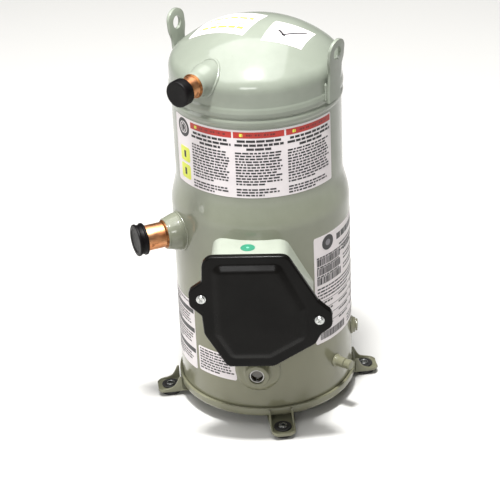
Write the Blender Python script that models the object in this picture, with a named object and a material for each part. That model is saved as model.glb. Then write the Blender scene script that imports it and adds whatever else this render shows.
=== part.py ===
"""Hermetic scroll compressor, upright, made of separate named pieces.

Z runs up along the crankshaft, the terminal box faces -Y, and the origin is
the centre of the bottom cap's flat underside. Sizes below are drawing units,
which SIZE turns into millimetres by putting the foot holes on a 190.5 mm square.
An azimuth is measured at the shell axis from -Y towards +X.
"""
import math

import bmesh
import bpy
from mathutils import Matrix, Vector

SIZE = 0.956
MM = 0.001 * SIZE
ROUND = 32                     # facets of the large turned parts

# shell
BODY_R, NECK_R, WALL = 121.5, 113.4, 4.0
BODY_BOTTOM, SHOULDER_LOW, SHOULDER_HIGH, NECK_TOP = 13.6, 291.0, 337.0, 452.4
SKIRT_R, SKIRT_TOP, KNUCKLE_R, CROWN_R = 114.7, 485.0, 25.0, 160.0
CAP_BOTTOM = 452.8
LIP_R, LIP_TOP = 125.6, 21.7
GAP = 0.3

# ports: azimuth and height
SUCTION_AZ, SUCTION_Z = -64.5, 262.5
DISCHARGE_AZ, DISCHARGE_Z = -35.0, 497.0
TERMINAL_Z, TERMINAL_R = 232.0, 25.0
SIGHT_AZ, SIGHT_Z = -3.3, 80.0
VALVE_AZ, VALVE_Z = 55.0, 64.5
EQUALIZER_AZ, EQUALIZER_Z = 88.0, 83.0
LUG_AZ = (60.5, -119.5)
LUG_EYE_Z, LUG_EYE_R = 520.0, 9.0
FOOT_AZ = (10.2, 100.2, 190.2, 280.2)
FOOT_HOLE_R = 140.9

# terminal box, seen from the front: x, z and corner radius
BOX_OUTLINE = ((-44, 117, 12), (18, 117, 14), (74, 151, 12), (82, 166, 7), (97, 177, 12),
               (97, 199, 12), (79, 216, 8), (40, 284, 14), (-71, 284, 16), (-73, 247, 5),
               (-91, 234, 12), (-91, 211, 12), (-75, 196, 6), (-73, 168, 14))
WALL_OUTLINE = ((-39, 124, 12), (15, 124, 14), (67, 157, 12), (72, 206, 10), (37, 282, 18),
                (-61, 282, 18), (-63, 172, 12))
PANEL_OUTLINE = ((-38, 131, 12), (14, 131, 12), (62, 160, 12), (63, 206, 12), (31, 272, 14),
                 (-59, 272, 14), (-59, 168, 12))
BOX_FRONT, GASKET_FRONT, COVER_BACK, COVER_FRONT = -160.0, -161.5, -161.8, -170.3
COVER_SCREWS = ((-74.5, 222.0), (80.0, 188.0))

# scroll set
PITCH, VANE, TURNS, VANE_START = 24.0, 5.0, 3.15, 0.45
ORBIT = PITCH / 2 - VANE - 0.4
STEPS_PER_TURN = 24
PLATE_LOW, PLATE_HIGH, FIXED_LOW, FIXED_HIGH = 386.0, 397.6, 430.0, 452.0

PAINT = (0.40, 0.43, 0.35)
LIGHT_PAINT = (0.76, 0.78, 0.68)
COPPER = (0.60, 0.24, 0.09)
BLACK = (0.014, 0.012, 0.011)
ZINC = (0.62, 0.62, 0.60)
STEEL = (0.42, 0.42, 0.41)
IRON = (0.16, 0.16, 0.16)


def wipe():
    for thing in list(bpy.data.objects):
        bpy.data.objects.remove(thing, do_unlink=True)


def collection(name):
    made = bpy.data.collections.new(name)
    bpy.context.scene.collection.children.link(made)
    return made


wipe()
PARTS = collection("scroll_compressor")
CUTTERS = collection("cutters")


def material(name, colour, metallic=0.0, roughness=0.5):
    made = bpy.data.materials.new(name)
    made.use_nodes = True
    shader = made.node_tree.nodes["Principled BSDF"]
    shader.inputs["Base Color"].default_value = (*colour, 1.0)
    shader.inputs["Metallic"].default_value = metallic
    shader.inputs["Roughness"].default_value = roughness
    made.diffuse_color = (*colour, 1.0)
    return made


def finish(name, bm, look, frame=None):
    """Make the object; look is (colour, metallic, roughness), or None for a cutter."""
    bmesh.ops.remove_doubles(bm, verts=bm.verts[:], dist=0.002)
    bmesh.ops.recalc_face_normals(bm, faces=bm.faces[:])
    move = frame or Matrix()
    bm.transform(Matrix.Scale(MM, 4) @ move)
    mesh = bpy.data.meshes.new(name)
    bm.to_mesh(mesh)
    bm.free()
    thing = bpy.data.objects.new(name, mesh)
    if look is None:
        CUTTERS.objects.link(thing)
        thing.hide_render = True
        thing.display_type = "WIRE"
    else:
        PARTS.objects.link(thing)
        mesh.materials.append(material(name + "_finish", *look))
    return thing


def lathe(name, profile, look, steps=24, frame=None):
    """Revolve a closed (radius, height) outline about the frame's Z."""
    bm = bmesh.new()
    ring = [bm.verts.new((r, 0.0, h)) for r, h in profile]
    for a, b in zip(ring, ring[1:] + ring[:1]):
        if a.co.x > 0.001 or b.co.x > 0.001:
            bm.edges.new((a, b))
    bmesh.ops.spin(bm, geom=bm.verts[:] + bm.edges[:], cent=(0, 0, 0), axis=(0, 0, 1),
                   angle=2 * math.pi, steps=steps, use_merge=True)
    return finish(name, bm, look, frame)


def loft(name, loops, look, closed=False, frame=None):
    """Bridge loops of equal length; the ends are filled unless the loft is closed."""
    bm = bmesh.new()
    rings = [[bm.verts.new(p) for p in loop] for loop in loops]
    pairs = list(zip(rings, rings[1:])) + ([(rings[-1], rings[0])] if closed else [])
    for low, high in pairs:
        for i in range(len(low)):
            j = (i + 1) % len(low)
            bm.faces.new((low[i], low[j], high[j], high[i]))
    if not closed:
        bm.faces.new(rings[0][::-1])
        bm.faces.new(rings[-1])
    return finish(name, bm, look, frame)


def box(name, low, high, look, frame=None):
    bm = bmesh.new()
    bmesh.ops.create_cube(bm, size=1.0)
    size = Vector(high) - Vector(low)
    centre = (Vector(high) + Vector(low)) / 2
    bm.transform(Matrix.Translation(centre) @ Matrix.Diagonal((*size, 1.0)))
    return finish(name, bm, look, frame)


def rod(name, radius, low, high, look, steps=24, frame=None):
    return lathe(name, ((0, low), (radius, low), (radius, high), (0, high)), look, steps, frame)


def tube(name, inner, outer, low, high, look, steps=24, frame=None):
    return lathe(name, ((inner, low), (outer, low), (outer, high), (inner, high)),
                 look, steps, frame)


def boolean(thing, other, kind="DIFFERENCE"):
    step = thing.modifiers.new(kind.lower() + "_" + other.name, "BOOLEAN")
    step.operation = kind
    step.solver = "EXACT"
    step.object = other


def radial(azimuth, height=0.0):
    """Frame whose Z points outward from the shell axis, Y up."""
    a = math.radians(azimuth)
    out = Vector((math.sin(a), -math.cos(a), 0.0))
    up = Vector((0.0, 0.0, 1.0))
    turn = Matrix((up.cross(out), up, out)).transposed().to_4x4()
    return Matrix.Translation((0, 0, height)) @ turn


def standing(azimuth, distance=0.0, height=0.0):
    """Frame whose X points outward at an azimuth, Z up."""
    a = math.radians(azimuth)
    out = Vector((math.sin(a), -math.cos(a), 0.0))
    up = Vector((0.0, 0.0, 1.0))
    turn = Matrix((out, up.cross(out), up)).transposed().to_4x4()
    return Matrix.Translation(out * distance + up * height) @ turn


def corner_offsets(outline, inset):
    """Move every edge of a counter-clockwise outline inward, keeping its corner arcs."""
    moved, count = [], len(outline)
    for i in range(count):
        before, here, after = (Vector(outline[k % count][:2]) for k in (i - 1, i, i + 1))
        one, two = (here - before).normalized(), (after - here).normalized()
        left_one, left_two = Vector((-one.y, one.x)), Vector((-two.y, two.x))
        turn = one.x * two.y - one.y * two.x
        shift = (left_one + left_two) * inset / (1.0 + left_one.dot(left_two))
        arc = outline[i][2] - inset if turn > 0 else outline[i][2] + inset
        moved.append((here.x + shift.x, here.y + shift.y, max(arc, 0.8)))
    return moved


def rounded(outline, steps=2):
    """Points of an outline whose corners are arcs."""
    points, count = [], len(outline)
    for i in range(count):
        before, here, after = (Vector(outline[k % count][:2]) for k in (i - 1, i, i + 1))
        one, two = (before - here).normalized(), (after - here).normalized()
        half = one.angle(two) / 2
        arc = outline[i][2]
        reach = arc / math.tan(half)
        centre = here + (one + two).normalized() * arc / math.sin(half)
        start, end = here + one * reach - centre, here + two * reach - centre
        sweep = start.angle_signed(end)
        for k in range(steps + 1):
            turn = Matrix.Rotation(-sweep * k / steps, 2)
            points.append(centre + turn @ start)
    return points


def front_loop(inset, y, outline=BOX_OUTLINE):
    """An outline of the terminal box or its cover as a loop at one depth."""
    return [Vector((p.x, y, p.y)) for p in rounded(corner_offsets(outline, inset))]


def arc_points(centre_r, centre_h, radius, start, end, steps):
    """Points of an arc; angles in degrees from the Z axis towards +r."""
    made = []
    for k in range(steps + 1):
        a = math.radians(start + (end - start) * k / steps)
        made.append((centre_r + radius * math.sin(a), centre_h + radius * math.cos(a)))
    return made


def dome(thickness_in):
    """Half outline of the top cap, from the skirt's top to the crown."""
    inner_r = SKIRT_R - KNUCKLE_R
    span = CROWN_R - KNUCKLE_R
    tilt = math.degrees(math.asin(inner_r / span))
    crown_h = SKIRT_TOP - math.sqrt(span ** 2 - inner_r ** 2)
    fine = 0 if thickness_in else 1
    side = arc_points(inner_r, SKIRT_TOP, KNUCKLE_R - thickness_in, 90, tilt, 2 + fine)
    top = arc_points(0, crown_h, CROWN_R - thickness_in, tilt, 0, 3 + fine)
    return side + top[1:]


def shell_outside(grow):
    """Outer outline of the whole shell, enlarged, for fitting pieces against it."""
    line = [(0, 30), (BODY_R + grow, 30), (BODY_R + grow, SHOULDER_LOW)]
    line += shoulder(grow)
    line += [(NECK_R + grow, 440), (SKIRT_R + grow, 445)]
    line += [(r + (grow if r > 1 else 0), h + grow) for r, h in dome(0.0)]
    return line


def shoulder(grow, steps=4):
    made = []
    for k in range(1, steps + 1):
        t = k / steps
        ease = t * t * (3 - 2 * t)
        made.append((BODY_R + (NECK_R - BODY_R) * ease + grow,
                     SHOULDER_LOW + (SHOULDER_HIGH - SHOULDER_LOW) * t))
    return made


PAINTED = (PAINT, 0.0, 0.42)
RUBBER = (BLACK, 0.0, 0.6)
COATED = (COPPER, 1.0, 0.25)
PLATED = (ZINC, 1.0, 0.3)
TURNED = (STEEL, 1.0, 0.35)
CAST = (IRON, 0.8, 0.55)


def make_shell():
    cap = lathe("bottom_cap", (
        (0, 0), (92, 0), (108, 1.8), (118, 5.0), (124, 9.5), (LIP_R, 13), (LIP_R, LIP_TOP - 1),
        (LIP_R - 1.2, LIP_TOP), (BODY_R + GAP, LIP_TOP), (BODY_R + GAP, 13.2),
        (116.5, 9.2), (107, 5.8), (91, 4.0), (0, 4.0)), PAINTED, ROUND)
    body = [(BODY_R, BODY_BOTTOM), (BODY_R, SHOULDER_LOW)] + shoulder(0)
    body += [(NECK_R, 440), (115.4, 443.2), (115.8, 446.5), (115.2, 449.4), (113.8, NECK_TOP)]
    body += [(NECK_R - WALL, NECK_TOP)]
    body += [(r - WALL, h) for r, h in reversed(shoulder(0, 2))]
    body += [(BODY_R - WALL, SHOULDER_LOW), (BODY_R - WALL, BODY_BOTTOM)]
    shell = lathe("main_shell", body, PAINTED, ROUND)
    ports = (("suction", SUCTION_AZ, SUCTION_Z, 19.0), ("terminal", 0.0, TERMINAL_Z, TERMINAL_R),
             ("sight", SIGHT_AZ, SIGHT_Z, 10.3), ("valve", VALVE_AZ, VALVE_Z, 4.0),
             ("equalizer", EQUALIZER_AZ, EQUALIZER_Z, 4.0))
    for name, azimuth, height, radius in ports:
        boolean(shell, rod("cut_" + name + "_port", radius, 100, 135, None, 24,
                           radial(azimuth, height)))
    top = [(113.9, CAP_BOTTOM), (115.6, 455.2), (116.3, 459.5), (115.8, 463.4), (114.4, 466.6),
           (SKIRT_R, 469)] + dome(0.0)
    top += [(r, h) for r, h in reversed(dome(WALL))] + [(SKIRT_R - WALL, CAP_BOTTOM)]
    crown = lathe("top_cap", top, PAINTED, ROUND)
    boolean(crown, rod("cut_discharge_port", 15.2, 80, 130, None, 24,
                       radial(DISCHARGE_AZ, DISCHARGE_Z)))
    return cap, shell, crown


def make_feet():
    """Bracket plates welded under the bottom cap, each with a rubber grommet and sleeve."""
    for number, azimuth in enumerate(FOOT_AZ, 1):
        frame = standing(azimuth)
        side = ((88, -3.8), (159, -3.8), (159, 0.6), (150, 2.2), (138, 5.0), (131, 16.0),
                (128.5, 20.5), (126.2, 20.5), (126.2, -GAP), (88, -GAP))
        foot = loft("foot_%d" % number,
                    [[Vector((x, y, z)) for x, z in side] for y in (-17.0, 17.0)],
                    PAINTED, frame=frame)
        boolean(foot, box("cut_channel_%d" % number, (120, -14.4, -GAP), (170, 14.4, 30),
                          None, frame))
        boolean(foot, rod("cut_foot_hole_%d" % number, 10.0, -20, 20, None, 14,
                          standing(azimuth, FOOT_HOLE_R)))
        for sign in (-1, 1):
            corner = ((162, sign * 8.0), (162, sign * 20.0), (151, sign * 20.0))
            boolean(foot, loft("cut_corner_%d_%s" % (number, "lr"[sign > 0]),
                               [[Vector((x, y, z)) for x, y in corner] for z in (-9, 9)],
                               None, frame=frame))
        centre = standing(azimuth, FOOT_HOLE_R)
        lathe("grommet_%d" % number, (
            (6.2, -10.0), (13.6, -10.0), (14.4, -9.0), (14.4, -4.1), (9.7, -4.1), (9.7, 0.1),
            (12.2, 0.1), (12.2, 1.4), (11.2, 2.4), (6.2, 2.4)), RUBBER, 14, centre)
        tube("sleeve_%d" % number, 4.3, 5.9, -9.8, 3.6, PLATED, 14, centre)


def make_lugs():
    """Lifting ears: a flat eye on a pad welded to the cap's skirt."""
    for number, azimuth in enumerate(LUG_AZ, 1):
        frame = standing(azimuth)
        outline = ((-15, 454), (15, 454), (14, 492), (14, 498), (18.5, 513), (18.5, 524),
                   (13, 534), (5, 538.5), (-5, 538.5), (-13, 534), (-18.5, 524), (-18.5, 513),
                   (-14, 498), (-14, 492))
        lower, upper = [], []
        for y, z in outline:
            lean = max(0.0, z - 474) * 0.10
            lower.append(Vector((117.0 + lean, y, z)))
            upper.append(Vector((121.5 + lean, y, z)))
        lug = loft("lifting_lug_%d" % number, [lower, upper], PAINTED, frame=frame)
        boolean(lug, lathe("cut_eye_%d" % number, ((0, 100), (LUG_EYE_R, 100), (LUG_EYE_R, 150), (0, 150)),
                           None, 16, radial(azimuth, LUG_EYE_Z)))


def stub(name, frame, start, flare, boss_end, bore, boss_r, tube_end, clearance, cap_in,
         cap_out):
    """A welded boss, its copper tube and the cap pushed over the tube's mouth."""
    boss = lathe(name + "_fitting", (
        (bore + GAP, start), (flare, start), (flare, start + 22), (boss_r + 3, start + 29),
        (boss_r, start + 34), (boss_r, boss_end - 1.5), (boss_r - 1.5, boss_end),
        (bore + GAP, boss_end)), PAINTED, 20, frame)
    boolean(boss, clearance)
    pipe = tube(name + "_tube", bore - 1.4, bore, start + 14, tube_end, COATED, 20, frame)
    face = tube_end + 2.6
    lathe(name + "_plug", (
        (0, tube_end + GAP), (bore + GAP, tube_end + GAP), (bore + GAP, cap_in),
        (cap_out, cap_in), (cap_out, cap_in + 2.4), (cap_out - 1.3, cap_in + 3.0),
        (cap_out - 1.3, face - 3.4), (cap_out, face - 2.8), (cap_out, face - 0.8),
        (cap_out - 0.8, face), (0, face)), RUBBER, 20, frame)
    return boss, pipe


def make_stubs():
    clear = lathe("cut_shell_outside", shell_outside(GAP), None, ROUND)
    stub("suction", radial(SUCTION_AZ, SUCTION_Z), 104, 26.0, 143.0, 17.5, 21.6, 182.0, clear,
         171.5, 22.0)
    stub("discharge", radial(DISCHARGE_AZ, DISCHARGE_Z), 84, 21.5, 130.0, 14.3, 17.2, 160.0,
         clear, 148.0, 17.6)
    return clear


def make_terminal_box(clear):
    back = -62.0
    walls = [front_loop(inset, depth, WALL_OUTLINE)
             for inset, depth in ((0, back), (0, BOX_FRONT), (2.6, BOX_FRONT), (2.6, back))]
    shell = loft("terminal_box", walls, (LIGHT_PAINT, 0.0, 0.4), closed=True)
    for number, (x, z) in enumerate(COVER_SCREWS, 1):
        inner = -60.8 if x < 0 else 67.2
        outer = x + math.copysign(8.0, x)
        boolean(shell, box("add_ear_%d" % number, (min(inner, outer), -159.7, z - 8),
                           (max(inner, outer), -148, z + 8), None), "UNION")
        boolean(shell, rod("cut_ear_hole_%d" % number, 2.8, 140, 190, None, 12,
                           Matrix.Translation((x, 0, z))
                           @ Matrix.Rotation(math.radians(90), 4, "X")))
    boolean(shell, clear)
    boolean(shell, rod("cut_cable_entry", 10.5, 100, 130, None, 24,
                       Matrix.Translation((-12, -143, 0))))
    seal = ((-0.6, BOX_FRONT - GAP), (-0.6, GASKET_FRONT), (3.2, GASKET_FRONT),
            (3.2, BOX_FRONT - GAP))
    loft("cover_gasket", [front_loop(inset, depth, WALL_OUTLINE) for inset, depth in seal],
         RUBBER, closed=True)
    cover = loft("terminal_cover", [
        front_loop(3.0, COVER_FRONT + 2.6), front_loop(3.0, COVER_BACK), front_loop(0, COVER_BACK),
        front_loop(0, COVER_FRONT + 2.0), front_loop(1.6, COVER_FRONT)], (BLACK, 0.0, 0.35))
    field = [front_loop(inset, y, PANEL_OUTLINE)
             for inset, y in ((0, COVER_FRONT + 1.5), (0, COVER_FRONT - 0.2),
                              (5.8, COVER_FRONT - 5.8))]
    boolean(cover, loft("add_cover_field", field, None), "UNION")
    for number, (x, z) in enumerate(COVER_SCREWS, 1):
        along = Matrix.Translation((x, 0, z)) @ Matrix.Rotation(math.radians(90), 4, "X")
        boolean(cover, rod("cut_screw_hole_%d" % number, 2.8, 150, 190, None, 16, along))
        lathe("cover_screw_%d" % number, (
            (0, 163.0), (2.4, 163.0), (2.4, 170.7), (6.4, 170.7), (6.4, 172.0), (5.2, 173.7),
            (1.4, 174.1), (0, 174.1)), PLATED, 12, along)


def make_terminal():
    """Hermetic feed-through: a welded cup with three pins and an earth screw."""
    frame = radial(0.0, TERMINAL_Z)
    lathe("hermetic_terminal", (
        (0, 116.5), (20.0, 116.5), (22.0, 118.5), (22.0, 124.6), (24.2, 124.6), (24.2, 114.0),
        (0, 114.0)), TURNED, 24, frame)
    cup = bpy.data.objects["hermetic_terminal"]
    for number in range(3):
        turn = math.radians(98 + 120 * number)
        spot = frame @ Matrix.Translation((11.5 * math.cos(turn), 11.5 * math.sin(turn), 0))
        boolean(cup, rod("cut_pin_%d" % (number + 1), 3.6, 110, 120, None, 16, spot))
        lathe("terminal_pin_%d" % (number + 1), (
            (0, 107.5), (1.8, 107.5), (2.0, 113.6), (3.3, 113.6), (3.3, 117.4), (1.9, 117.4),
            (1.9, 133), (3.6, 133), (3.6, 134.6), (1.9, 134.6), (1.9, 141), (0, 141)),
            PLATED, 8, spot)


def make_fittings(clear):
    """Sight glass, oil service valve and oil equalizing port."""
    frame = radial(SIGHT_AZ, SIGHT_Z)
    boss = lathe("sight_glass_boss", (
        (10.6, 105), (31, 105), (31, 122.0), (27, 124.0), (17.6, 125.4), (16.6, 127.0),
        (16.0, 136.2), (14.8, 137.4), (10.6, 137.4)), PAINTED, 20, frame)
    boolean(boss, clear)
    tube("sight_glass_ring", 8.2, 10.3, 117.8, 135.6, TURNED, 24, frame)
    rod("sight_glass_lens", 7.9, 126.0, 131.0, ((0.10, 0.08, 0.03), 0.0, 0.05), 20, frame)
    frame = radial(VALVE_AZ, VALVE_Z)
    body = lathe("oil_valve_body", (
        (2.2, 112), (9.4, 112), (9.4, 122.6), (8.0, 124.4), (7.4, 126), (7.4, 137), (4.6, 137),
        (4.6, 143), (2.2, 143)), PAINTED, 20, frame)
    boolean(body, clear)
    lathe("oil_valve_cap", ((0, 144.0), (5.0, 144.0), (5.0, 137.5), (6.9, 137.5), (6.9, 146),
                            (5.9, 147.2), (0, 147.2)), PAINTED, 12, frame)
    frame = radial(EQUALIZER_AZ, EQUALIZER_Z)
    port = lathe("equalizer_port", (
        (3.9, 112), (13.0, 112), (13.0, 122.6), (11.2, 124.0), (10.8, 126.4), (10.2, 127.0),
        (3.9, 127.0)), PAINTED, 20, frame)
    boolean(port, clear)
    lathe("equalizer_plug", ((0, 118), (3.6, 118), (3.6, 127.3), (8.6, 127.3), (8.6, 129.4),
                             (7.8, 130.4), (0, 130.4)), PAINTED, 18, frame)


def vane_outline(turned):
    """Plan of one scroll wrap: out along one face and back along the other."""
    base = PITCH / (2 * math.pi)
    half = VANE / 2 / base
    first = round(VANE_START * STEPS_PER_TURN)
    last = first + round(TURNS * STEPS_PER_TURN)
    outer, inner = [], []
    for k in range(first, last + 1):
        a = 2 * math.pi * k / STEPS_PER_TURN
        outer.append((k, half))
        inner.append((k, -half))
    points = []
    for k, side in outer + inner[::-1]:
        normal = 2 * math.pi * k / STEPS_PER_TURN
        length = normal - side
        spot = Vector((base * (math.cos(normal) + length * math.sin(normal)),
                       base * (math.sin(normal) - length * math.cos(normal))))
        turn = Matrix.Rotation(math.radians(turned), 2)
        points.append(turn @ spot)
    return points


def vane(name, turned, low, high, centre=(0, 0)):
    plan = vane_outline(turned)
    return loft(name, [[Vector((p.x + centre[0], p.y + centre[1], z)) for p in plan]
                       for z in (low, high)], None)


KEY_HALF, RING_IN, RING_OUT = 6.0, 84.0, 95.0


def make_scrolls():
    fixed = lathe("fixed_scroll", (
        (7.0, FIXED_LOW), (105.4, FIXED_LOW), (105.4, 385.2), (108.6, 385.2),
        (108.6, FIXED_HIGH), (7.0, FIXED_HIGH)), CAST, ROUND)
    boolean(fixed, vane("add_fixed_vane", 180, PLATE_HIGH + GAP, FIXED_LOW + 4), "UNION")
    at = Matrix.Translation((ORBIT, 0, 0))
    orbiting = lathe("orbiting_scroll", (
        (20.4, 351), (29.0, 351), (29.0, PLATE_LOW), (98.0, PLATE_LOW), (98.0, PLATE_HIGH),
        (0, PLATE_HIGH), (0, PLATE_LOW), (20.4, PLATE_LOW)), CAST, ROUND, at)
    boolean(orbiting, vane("add_orbiting_vane", 0, PLATE_HIGH - 4, FIXED_LOW - GAP,
                           (ORBIT, 0)), "UNION")
    for number, side in enumerate((-1, 1), 1):
        near, far = sorted((side * (RING_IN - ORBIT - 0.6), side * 100))
        boolean(orbiting, box("cut_keyway_%d" % number, (ORBIT - KEY_HALF - GAP, near, 380),
                              (ORBIT + KEY_HALF + GAP, far, 391.2), None))
    tube("eccentric_bearing", 16.3, 20.1, 351.5, 385.4, ((0.55, 0.42, 0.20), 1.0, 0.35), 20, at)


def make_oldham():
    """The coupling ring, its inner band, and the two pairs of keys."""
    at = Matrix.Translation((ORBIT, 0, 0))
    ring = tube("oldham_ring", RING_IN, RING_OUT, 377.0, 383.4, TURNED, ROUND, at)
    for number, side in enumerate((-1, 1), 1):
        near, far = sorted((side * RING_IN, side * (RING_OUT - 1.5)))
        boolean(ring, box("add_upper_key_%d" % number, (ORBIT - KEY_HALF, near, 380),
                          (ORBIT + KEY_HALF, far, 390.6), None), "UNION")
        low, high = sorted((side * RING_IN + ORBIT, side * (RING_OUT - 1.5) + ORBIT))
        boolean(ring, box("add_lower_key_%d" % number, (low, -KEY_HALF, 370.4),
                          (high, KEY_HALF, 380), None), "UNION")
    tube("oldham_band", 78.5, RING_IN - 0.8, 377.2, 383.2, TURNED, ROUND, at)


def make_crankcase():
    body = lathe("crankcase", (
        (26.0, 288), (38, 288), (42, 292), (44, 326), (70, 340), (108.6, 346), (108.6, 384.8),
        (105.4, 384.8), (105.4, 376.6), (70.0, 376.6), (70.0, 385.6), (48.0, 385.6),
        (48.0, 347.4), (26.0, 347.4)), CAST, ROUND)
    for number, side in enumerate((-1, 1), 1):
        near, far = sorted((side * (RING_IN - ORBIT - 1.0), side * (RING_OUT + ORBIT + 0.5)))
        boolean(body, box("cut_case_keyway_%d" % number, (near, -KEY_HALF - GAP, 369.8),
                          (far, KEY_HALF + GAP, 384), None))
    for number, azimuth in enumerate((45, 135, 225, 315), 1):
        boolean(body, rod("cut_gas_way_%d" % number, 9.0, 330, 390, None, 16,
                          standing(azimuth, 88.0)))
    tube("main_bearing", 20.4, 25.7, 289, 346.2, ((0.55, 0.42, 0.20), 1.0, 0.35), 20)


def make_motor():
    tube("stator_core", 65.6, 117.2, 90, 200, ((0.22, 0.22, 0.23), 0.9, 0.45), ROUND)
    wire = ((0.45, 0.16, 0.05), 0.9, 0.4)
    lathe("lower_winding", ((70, 89.7), (70, 68), (75, 62), (99, 62), (104, 68), (104, 89.7)),
          wire, ROUND)
    lathe("upper_winding", ((70, 200.3), (70, 224), (75, 230), (97, 230), (102, 224),
                            (102, 200.3)), wire, ROUND)
    tube("rotor", 20.3, 65.0, 93, 197, ((0.30, 0.30, 0.31), 0.9, 0.4), ROUND)
    for name, low, high, reach, turned in (("upper_counterweight", 197.4, 215, 62, 180),
                                           ("lower_counterweight", 75.5, 92.6, 56, 0)):
        weight = tube(name, 20.3, reach, low, high, ((0.50, 0.36, 0.14), 1.0, 0.4), 32)
        side = math.radians(turned)
        frame = Matrix.Rotation(side, 4, "Z")
        boolean(weight, box("cut_" + name, (-80, -80, low + 5.0), (-14.0, 80, high + 4), None,
                            frame))
        boolean(weight, box("cut_hub_" + name, (-80, -80, low - 4), (-30.0, 80, low + 9), None,
                            frame))


def make_lower_bearing():
    spider = lathe("lower_bearing_housing", (
        (22.0, 44), (33, 44), (36, 46), (117.1, 46), (117.1, 54), (36, 54), (33, 58), (33, 72),
        (22.0, 72)), CAST, ROUND)
    for number, azimuth in enumerate((0, 90, 180, 270), 1):
        boolean(spider, box("cut_spider_%d" % number, (46, -30, 40), (106, 30, 60), None,
                            standing(azimuth + 45)))
    tube("lower_bearing", 18.3, 21.7, 45, 71, ((0.55, 0.42, 0.20), 1.0, 0.35), 20)


def make_shaft():
    shaft = lathe("crankshaft", (
        (0, 43), (18.0, 43), (18.0, 73.5), (20.0, 74.5), (20.0, 348.5), (0, 348.5)),
        TURNED, 20)
    pin = rod("add_crank_pin", 16.0, 346.8, 383, None, 20, Matrix.Translation((ORBIT, 0, 0)))
    boolean(shaft, pin, "UNION")
    boolean(shaft, rod("cut_oil_bore", 4.0, 20, 400, None, 12,
                       Matrix.Translation((ORBIT * 0.6, 0, 0))))
    lathe("oil_pickup", ((4.5, 9), (8, 9), (10, 14), (10, 36), (14.5, 40), (14.5, 42.6),
                         (8.0, 42.6), (8.0, 38), (6.5, 34), (6.5, 14)), TURNED, 14)


def make_check_valve():
    lathe("check_valve_cage", (
        (13.0, FIXED_HIGH + GAP), (19.0, FIXED_HIGH + GAP), (19.0, 455.5), (16.0, 457),
        (16.0, 464.5), (6.0, 464.5), (6.0, 461.5), (13.0, 461.5)), TURNED, 16)
    rod("check_valve_disc", 12.4, 452.6, 454.8, ((0.55, 0.55, 0.56), 1.0, 0.25), 24)


make_shell()
make_feet()
CLEAR = make_stubs()
make_lugs()
make_terminal_box(CLEAR)
make_terminal()
make_fittings(CLEAR)
make_scrolls()
make_oldham()
make_crankcase()
make_motor()
make_lower_bearing()
make_shaft()
make_check_valve()
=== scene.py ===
import math
import random

import bmesh
import bpy
from mathutils import Matrix, Vector


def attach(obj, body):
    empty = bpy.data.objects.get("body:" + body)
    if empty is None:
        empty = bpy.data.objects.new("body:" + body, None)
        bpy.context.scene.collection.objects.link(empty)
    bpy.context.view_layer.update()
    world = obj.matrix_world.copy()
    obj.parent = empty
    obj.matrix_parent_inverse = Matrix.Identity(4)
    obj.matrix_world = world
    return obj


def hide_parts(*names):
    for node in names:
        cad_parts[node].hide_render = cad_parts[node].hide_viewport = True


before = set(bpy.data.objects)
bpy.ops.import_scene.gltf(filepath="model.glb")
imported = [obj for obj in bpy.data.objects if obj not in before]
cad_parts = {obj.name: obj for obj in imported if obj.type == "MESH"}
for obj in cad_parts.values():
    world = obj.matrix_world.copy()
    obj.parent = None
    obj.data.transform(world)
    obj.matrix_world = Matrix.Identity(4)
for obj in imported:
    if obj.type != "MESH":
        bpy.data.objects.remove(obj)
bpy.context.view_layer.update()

# All sizes below are millimetres on the drawing, which is made at this scale.
SIZE = 0.956
MM = 0.001 * SIZE

# The turned shell, from the drawing.
BODY_R, NECK_R, WALL = 121.5, 113.4, 4.0
BODY_BOTTOM, SHOULDER_LOW, SHOULDER_HIGH, NECK_TOP = 13.6, 291.0, 337.0, 452.4
SKIRT_R, SKIRT_TOP, KNUCKLE_R, CROWN_R, CAP_BOTTOM = 114.7, 485.0, 25.0, 160.0, 452.8
FOOT_AZ, FOOT_HOLE_R = (10.2, 100.2, 190.2, 280.2), 140.9
LUG_AZ = (60.5, -119.5)
GAP = 0.3

# Where the fittings stand on the shell: azimuth from the front, and height.
SUCTION, DISCHARGE = (-64.5, 262.5), (-35.0, 497.0)
SIGHT, OIL_VALVE, EQUALIZER, TERMINAL = (-3.3, 80.0), (55.0, 64.5), (88.0, 83.0), (0.0, 232.0)
FOOT_SOLE = -10.0

# Terminal box and cover outlines, seen from the front: (x, z, corner radius).
BOX_OUTLINE = ((-39, 124, 12), (15, 124, 14), (67, 157, 12), (72, 206, 10), (37, 282, 18),
               (-61, 282, 18), (-63, 172, 12))
COVER_OUTLINE = ((-44, 117, 12), (18, 117, 14), (74, 151, 12), (82, 166, 7), (97, 177, 12),
                 (97, 199, 12), (79, 216, 8), (40, 284, 14), (-71, 284, 16), (-73, 247, 5),
                 (-91, 234, 12), (-91, 211, 12), (-75, 196, 6), (-73, 168, 14))
FIELD_OUTLINE = ((-38, 131, 12), (14, 131, 12), (62, 160, 12), (63, 206, 12), (31, 272, 14),
                 (-59, 272, 14), (-59, 168, 12))
BOX_FRONT, COVER_BACK, COVER_FRONT = -160.0, -161.8, -170.3
COVER_SCREWS = ((-74.5, 222.0), (80.0, 188.0))


# ---------------------------------------------------------------- camera

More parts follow.
